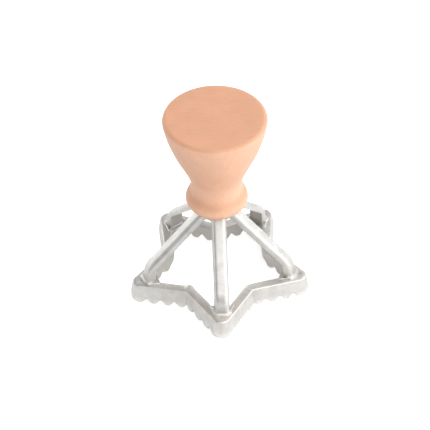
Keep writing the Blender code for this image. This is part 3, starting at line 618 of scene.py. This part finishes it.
def add_spoke(bm, s, hub_top, turn, shift):
    """One spoke with its foot, from its side view, with rounded long edges."""
    slope = math.tan(s.spoke_angle)
    reach = s.tip_reach - s.foot_to_tip
    bend = Vector((reach - s.foot_lean, s.rim_height + s.foot_height))
    foot = Vector((reach, s.rim_height + s.foot_fillet))
    above = Vector((-math.cos(s.spoke_angle), math.sin(s.spoke_angle))) * s.bend_length
    beneath = (foot - bend).normalized() * s.bend_length
    heel = reach - s.foot_length
    heel_top = bend.y - s.spoke_depth / math.cos(s.spoke_angle) + (bend.x - heel) * slope
    below = s.rim_height - s.web_thickness / 2
    near_top = hub_top - HUB_SKIN
    inner_end = s.hub_radius - SPOKE_INTO_HUB
    side_view = [(inner_end, near_top), (bend.x - (near_top - bend.y) / slope, near_top)]
    side_view += curve(bend + above, bend + above / 2, bend + beneath / 2, bend + beneath, 8)
    side_view += [tuple(bend + beneath), tuple(foot), (reach, below)]
    last = len(side_view) - 1
    side_view += [(heel, below), (heel, heel_top), (s.hub_radius, hub_top - s.hub_thickness),
                  (inner_end, hub_top - s.hub_thickness)]
    spoke = bmesh.new()
    rows = []
    for side in (-1, 1):
        row = []
        for index, (across, height) in enumerate(side_view):
            half = s.spoke_width / 2 + (s.spoke_draft if index >= last else 0.0)
            row.append(spoke.verts.new((across, side * half + shift, height)))
        rows.append(row)
    left, right = rows
    spoke.faces.new(left)
    spoke.faces.new(right[::-1])
    for index in range(len(side_view)):
        after = (index + 1) % len(side_view)
        spoke.faces.new((left[index], right[index], right[after], left[after]))
    upper = [spoke.edges.get((row[index], row[index + 1])) for row in rows for index in range(1, last)]
    lower = [spoke.edges.get((row[last + 2], row[last + 3])) for row in rows]
    bmesh.ops.bevel(spoke, geom=lower, offset=LOWER_ROUNDING, segments=4, profile=0.5, affect='EDGES')
    bmesh.ops.bevel(spoke, geom=upper, offset=s.spoke_rounding, segments=6, profile=0.5, affect='EDGES')
    join_turned(bm, spoke, turn)


def add_foot_cove(bm, s, turn, shift):
    """The cove in front of a foot, and the low ribs that run inwards from it on both sides of the foot."""
    reach = s.tip_reach - s.foot_to_tip
    inner = reach - s.foot_length - s.web_past_heel
    half = s.spoke_width / 2 + s.spoke_draft
    steps = 8
    cove = bmesh.new()
    rings = []
    turns = [step / steps * math.pi / 2 for step in range(steps + 1)]
    levels = [(-FOOT_SINK, 1.0)]
    levels += [((1 - math.cos(at)) * s.foot_fillet, 1 - math.sin(at)) for at in turns]
    for rise, spread in levels:
        out = s.foot_fillet * spread
        side = half - FOOT_SINK + out * 0.8
        ring = [(reach - 1.4 * MM, -side), (reach - 0.2 * MM + out * 0.5, -side), (reach + out, -side + 1.2 * MM)]
        ring += [(across, -aside) for across, aside in ring[::-1]]
        rings.append([Vector((across, aside, s.rim_height + rise)) for across, aside in ring])
    skin(cove, rings)
    # Each rib spreads away from the foot and sinks inwards
    wide = s.rib_width / 2
    root = -0.6 * MM
    path = ((reach - 0.2 * MM, half + 0.35 * MM, 1.0), (reach - 1.8 * MM, half + 0.6 * MM, 0.9),
            (inner + 0.5 * MM, half + 1.7 * MM, 0.5))
    for side in (-1, 1):
        rib = []
        for across, aside, share_left in path:
            high = s.rib_height * share_left
            section = ((-wide, root), (-wide * 0.55, high * 0.8), (-wide * 0.1, high), (wide * 0.4, high * 0.55),
                       (wide * 1.3, root))
            rib.append([Vector((across, side * (aside + offset), s.rim_height - SMALL_STEP + height))
                        for offset, height in section])
        skin(cove, rib)
    bmesh.ops.translate(cove, verts=cove.verts, vec=(0.0, shift, 0.0))
    join_turned(bm, cove, turn)


def add_web(bm, s, turn):
    """The plate that closes the inner corner of a tip, a small step below the rim's top."""
    step = math.pi / s.points
    half_angle = math.atan2(s.notch_reach * math.sin(step), s.tip_reach - s.notch_reach * math.cos(step))
    near = s.tip_reach - s.foot_to_tip - s.foot_length - s.web_past_heel
    half = (s.tip_reach - near) * math.tan(half_angle) - s.rim_wall / math.cos(half_angle) + 1.5 * MM
    far = s.tip_reach - s.tip_rounding / math.sin(half_angle) + s.tip_rounding / 2
    outline = [(near, -half), (far, -1.0 * MM), (far, 1.0 * MM), (near, half)]
    top = s.rim_height - SMALL_STEP
    web = bmesh.new()
    add_slab(web, outline, top - s.web_thickness, top)
    # The tip's own inner corner is filled to the top
    patch = [(far - 2.2 * MM, -1.2 * MM), (far, -1.2 * MM), (far, 1.2 * MM), (far - 2.2 * MM, 1.2 * MM)]
    add_slab(web, patch, top - 1.0 * MM, s.rim_height)
    join_turned(bm, web, turn)


def mark_push(point, marks):
    """How far the casting's own marks push its skin outwards at a point."""
    push = 0.0
    for centre, radius, height in marks:
        near = (point - centre).length / radius
        if near < 1.0:
            push += height * (1 - near * near) ** 2
    return push


def join_turned(target, source, turn):
    """Add a bmesh to another, turned round the stamp's axis, and free it."""
    bmesh.ops.rotate(source, verts=source.verts, cent=(0, 0, 0), matrix=Matrix.Rotation(turn, 3, 'Z'))
    bmesh.ops.recalc_face_normals(source, faces=source.faces)
    mesh = bpy.data.meshes.new("turned")
    source.to_mesh(mesh)
    source.free()
    target.from_mesh(mesh)
    bpy.data.meshes.remove(mesh)


def add_hub(bm, s, hub_top):
    """The round hub, with its countersunk hole."""
    rounding = LOWER_ROUNDING
    under = hub_top - s.hub_thickness - HUB_SKIN
    middle = s.hub_radius - rounding
    profile = [(HUB_BORE, hub_top)]
    profile += quarter((middle, hub_top - rounding), rounding, 0.0, 4)[::-1]
    profile += quarter((middle, under + rounding), rounding, -math.pi / 2, 4)[::-1]
    profile += [(HUB_SINK, under), (HUB_SINK, under + SINK_HEIGHT),
                (HUB_BORE, under + SINK_HEIGHT + HUB_SINK - HUB_BORE), (HUB_BORE, hub_top)]
    hub = bmesh.new()
    turn_profile(hub, profile, 96)
    join_turned(bm, hub, 0.0)


class STAMP_OT_casting(bpy.types.Operator):
    """Build the cast star frame with its teeth, feet, spokes and hub"""
    bl_idname = "stamp.casting"
    bl_label = "Cast Frame"

    def execute(self, context):
        s = context.scene.stamp_casting
        hub_top = FRAME_BOX[1].z
        arms = bmesh.new()
        for arm in range(s.points):
            turn = -math.pi / 2 + 2 * math.pi * arm / s.points
            shift = 0.0 if arm else s.front_shift
            add_web(arms, s, turn)
            add_foot_cove(arms, s, turn, shift)
            add_spoke(arms, s, hub_top, turn, shift)
        add_hub(arms, s, hub_top)
        bmesh.ops.translate(arms, verts=arms.verts, vec=AXIS)
        material = cast_aluminium(s)
        casting = link_mesh("cast_star_frame", arms, material)
        # The webs, feet, spokes and hub melt into one skin, whose edges the tumbling then softens
        melt = casting.modifiers.new("melt", 'REMESH')
        melt.mode = 'VOXEL'
        melt.voxel_size = s.grid
        melt.use_smooth_shade = True
        soften = casting.modifiers.new("soften", 'SMOOTH')
        soften.factor = 0.5
        soften.iterations = 3
        bake_modifiers(casting)
        whole = bmesh.new()
        add_rim(whole, s)
        bmesh.ops.translate(whole, verts=whole.verts, vec=AXIS)
        bmesh.ops.recalc_face_normals(whole, faces=whole.faces)
        whole.from_mesh(casting.data)
        whole.to_mesh(casting.data)
        whole.free()
        notch_bearing = -math.pi / 2 - math.pi / s.points
        notch = AXIS + Vector((math.cos(notch_bearing), math.sin(notch_bearing), 0.0)) * (s.notch_reach - 4.6 * MM)
        marks = [
            (notch + Vector((-1.2 * MM, 0.3 * MM, s.rim_height - 0.3 * MM)), 2.8 * MM, s.lump),
            (AXIS + Vector((-0.6 * MM, -37.2 * MM, s.rim_height - 0.8 * MM)), 1.4 * MM, -s.nick),
        ]
        normals = [vert.normal.copy() for vert in casting.data.vertices]
        for vert, normal in zip(casting.data.vertices, normals):
            slow = noise.noise(vert.co / (5 * MM))
            fine = noise.noise(vert.co / (1.6 * MM) + Vector((7.0, 3.0, 1.0)))
            vert.co += normal * (s.waviness * (slow + 0.5 * fine - 1.2) + mark_push(vert.co, marks))
        casting.data.shade_smooth()
        casting.data.set_sharp_from_angle(angle=math.radians(38))
        hand_over(casting, "star_frame")
        return {'FINISHED'}


class STAMP_OT_handle(bpy.types.Operator):
    """Turn the beech handle with its bulb, neck, cone and flat top"""
    bl_idname = "stamp.handle"
    bl_label = "Turned Handle"

    def execute(self, context):
        s = context.scene.stamp_handle
        seat = HANDLE_BOX[0].z
        top = HANDLE_BOX[1].z
        bulb = seat + s.bulb_height
        neck = seat + s.neck_height
        edge = top - s.edge_rounding
        cone = edge - neck
        pull = 0.55 * s.edge_rounding
        lean = 0.16
        hole_end = SCREW_BOX[1].z + 1.5 * MM
        profile = [((s.knob_radius - s.edge_rounding) * step / 12, top) for step in range(12)]
        profile += curve((s.knob_radius - s.edge_rounding, top), (s.knob_radius - s.edge_rounding + pull, top),
                         (s.knob_radius + pull * lean, edge + pull), (s.knob_radius, edge), 14)
        profile += curve((s.knob_radius, edge), (s.knob_radius - 0.51 * cone * lean, edge - 0.51 * cone),
                         (s.neck_radius, neck + 0.26 * cone), (s.neck_radius, neck), 40)
        profile += curve((s.neck_radius, neck), (s.neck_radius, neck - 0.52 * (neck - bulb)),
                         (s.bulb_radius, bulb + 0.5 * (neck - bulb)), (s.bulb_radius, bulb), 22)
        profile += curve((s.bulb_radius, bulb), (s.bulb_radius, bulb - 0.33 * s.bulb_height),
                         (s.foot_radius + 2.0 * MM, seat + 0.3 * MM), (s.foot_radius, seat), 22)
        profile += [(s.foot_radius, seat), (s.hole_radius + 0.2 * MM, seat), (s.hole_radius, seat + 0.2 * MM)]
        profile += [(s.hole_radius, hole_end - s.hole_radius), (0.0, hole_end)]
        bm = bmesh.new()
        turn_profile(bm, profile, 160)
        bmesh.ops.translate(bm, verts=bm.verts, vec=AXIS)
        handle = link_mesh("turned_beech_handle", bm, oiled_beech(s))
        handle.data.set_sharp_from_angle(angle=math.radians(40))
        hand_over(handle, "handle")
        return {'FINISHED'}


class STAMP_OT_screw(bpy.types.Operator):
    """Make the countersunk wood screw that holds the handle from beneath"""
    bl_idname = "stamp.screw"
    bl_label = "Wood Screw"

    def execute(self, context):
        s = context.scene.stamp_screw
        face = SCREW_BOX[0].z
        tip = SCREW_BOX[1].z
        neck = face + s.head_rim + s.head_radius - s.shank_radius
        profile = [(0.0, tip), (s.shank_radius, tip - s.point_length), (s.shank_radius, neck),
                   (s.head_radius, face + s.head_rim), (s.head_radius, face + 0.1 * MM),
                   (s.head_radius - 0.1 * MM, face), (0.0, face)]
        bm = bmesh.new()
        turn_profile(bm, profile, 96)
        bmesh.ops.translate(bm, verts=bm.verts, vec=AXIS)
        screw = link_mesh("countersunk_wood_screw", bm, bright_zinc(s))
        recess = bmesh.new()
        for turn in (0.0, math.pi / 2):
            wing = bmesh.new()
            half = s.recess_width / 2
            long_half = 0.52 * s.head_radius
            rings = []
            for rise, shrink in ((-0.5 * MM, 1.15), (s.recess_depth, 0.35)):
                rings.append([Vector((across * long_half * shrink, side * half * (0.6 + 0.4 * shrink), face + rise))
                              for across, side in ((-1, -1), (1, -1), (1, 1), (-1, 1))])
            skin(wing, rings)
            join_turned(recess, wing, turn + math.radians(20))
        bmesh.ops.translate(recess, verts=recess.verts, vec=AXIS)
        cutter = link_mesh("cross_recess", recess, screw.data.materials[0])
        cut = screw.modifiers.new("cross recess", 'BOOLEAN')
        cut.operation = 'DIFFERENCE'
        cut.solver = 'EXACT'
        cut.use_self = True
        cut.object = cutter
        bake_modifiers(screw)
        bpy.data.objects.remove(cutter)
        screw.data.set_sharp_from_angle(angle=math.radians(30))
        hand_over(screw, "handle_screw")
        return {'FINISHED'}


# Each lamp's turn from the front to the right and height above the horizon in degrees, and its power in watts:
# a low ring round the stamp with its gap in front, a middle ring mostly on the right, and a soft top
LAMPS = (
    (30, 14, 1.35), (60, 14, 2.1), (90, 14, 1.49), (125, 14, 0.81), (160, 14, 0.82),
    (-160, 14, 1.73), (-125, 14, 1.61), (-90, 14, 1.03),
    (25, 40, 1.35), (65, 40, 0.31), (105, 40, 1.35), (150, 40, 1.3), (-25, 40, 1.25),
    (0, 68, 1.02), (60, 68, 1.19), (120, 68, 0.33), (0, 89, 0.87),
)


def add_lamp(settings, turn, rise, power):
    """A square soft lamp round the stamp, turned from the front to the right and raised above the floor."""
    light = bpy.data.lights.new("soft_lamp", 'AREA')
    light.shape = 'SQUARE'
    light.size = settings.lamp_width
    light.energy = power
    away = Vector((math.sin(turn) * math.cos(rise), -math.cos(turn) * math.cos(rise), math.sin(rise)))
    lamp = bpy.data.objects.new("soft_lamp", light)
    lamp.location = AXIS + Vector((0.0, 0.0, 30 * MM)) + away * settings.lamp_reach
    lamp.rotation_euler = away.to_track_quat('Z', 'Y').to_euler()
    lamp.visible_camera = False
    bpy.context.scene.collection.objects.link(lamp)


class STAMP_OT_stage(bpy.types.Operator):
    """Lay the floor, hang the lamps and set up the camera"""
    bl_idname = "stamp.stage"
    bl_label = "Stage"

    def execute(self, context):
        s = context.scene.stamp_stage
        scene = context.scene
        bm = bmesh.new()
        bmesh.ops.create_grid(bm, x_segments=24, y_segments=24, size=s.floor_half)
        bmesh.ops.translate(bm, verts=bm.verts, vec=(0.0, 0.0, -0.02 * MM))
        floor = link_mesh("floor", bm, studio_floor(s))
        world = bpy.data.worlds.new("studio")
        scene.world = world
        world.use_nodes = True
        tree = world.node_tree
        tree.nodes.clear()
        ray = add_node(tree, 'ShaderNodeLightPath')
        strength = add_node(tree, 'ShaderNodeMapRange', {"To Min": s.dome, "To Max": 1.0},
                            {"Value": ray.outputs["Is Camera Ray"]})
        dome = add_node(tree, 'ShaderNodeBackground', {"Color": (1.0, 1.0, 1.0, 1.0)},
                        {"Strength": strength.outputs["Result"]})
        add_node(tree, 'ShaderNodeOutputWorld', {}, {"Surface": dome.outputs["Background"]})
        for turn, rise, power in LAMPS:
            add_lamp(s, math.radians(turn), math.radians(rise), power * s.lamp_power)
        data = bpy.data.cameras.new("camera")
        data.sensor_width = 36.0
        data.lens = s.lens
        data.clip_end = 20.0
        camera = bpy.data.objects.new("camera", data)
        scene.collection.objects.link(camera)
        toward = Vector((math.sin(s.azimuth) * math.cos(s.elevation), -math.cos(s.azimuth) * math.cos(s.elevation),
                         math.sin(s.elevation)))
        level = Vector((math.cos(s.azimuth), math.sin(s.azimuth), 0.0))
        upright = toward.cross(level)
        right = level * math.cos(s.roll) - upright * math.sin(s.roll)
        up = upright * math.cos(s.roll) + level * math.sin(s.roll)
        aim = Vector((AXIS.x, AXIS.y, s.aim_height)) + level * s.aim_side
        turn = Matrix((right, up, toward)).transposed().to_4x4()
        camera.matrix_world = Matrix.Translation(aim + toward * s.distance) @ turn
        scene.camera = camera
        scene.view_settings.view_transform = 'Standard'
        return {'FINISHED'}


class STAMP_PT_sidebar(bpy.types.Panel):
    """The stamp's pieces, with their sizes and colours"""
    bl_idname = "STAMP_PT_sidebar"
    bl_label = "Ravioli Stamp"
    bl_space_type = 'VIEW_3D'
    bl_region_type = 'UI'
    bl_category = "Stamp"

    def draw(self, context):
        scene = context.scene
        for group, operator in ((scene.stamp_casting, STAMP_OT_casting), (scene.stamp_handle, STAMP_OT_handle),
                                (scene.stamp_screw, STAMP_OT_screw), (scene.stamp_stage, STAMP_OT_stage)):
            box = self.layout.box()
            box.operator(operator.bl_idname)
            for name in group.__annotations__:
                box.prop(group, name)


CLASSES = (
    StampCastingSettings, StampHandleSettings, StampScrewSettings, StampStageSettings,
    STAMP_OT_casting, STAMP_OT_handle, STAMP_OT_screw, STAMP_OT_stage, STAMP_PT_sidebar,
)


def register():
    for item in CLASSES:
        bpy.utils.register_class(item)
    bpy.types.Scene.stamp_casting = PointerProperty(type=StampCastingSettings)
    bpy.types.Scene.stamp_handle = PointerProperty(type=StampHandleSettings)
    bpy.types.Scene.stamp_screw = PointerProperty(type=StampScrewSettings)
    bpy.types.Scene.stamp_stage = PointerProperty(type=StampStageSettings)


def unregister():
    del bpy.types.Scene.stamp_stage
    del bpy.types.Scene.stamp_screw
    del bpy.types.Scene.stamp_handle
    del bpy.types.Scene.stamp_casting
    for item in reversed(CLASSES):
        bpy.utils.unregister_class(item)


def main():
    register()
    bpy.ops.stamp.casting()
    bpy.ops.stamp.handle()
    bpy.ops.stamp.screw()
    bpy.ops.stamp.stage()
    bpy.context.view_layer.update()


if __name__ == "__main__":
    main()
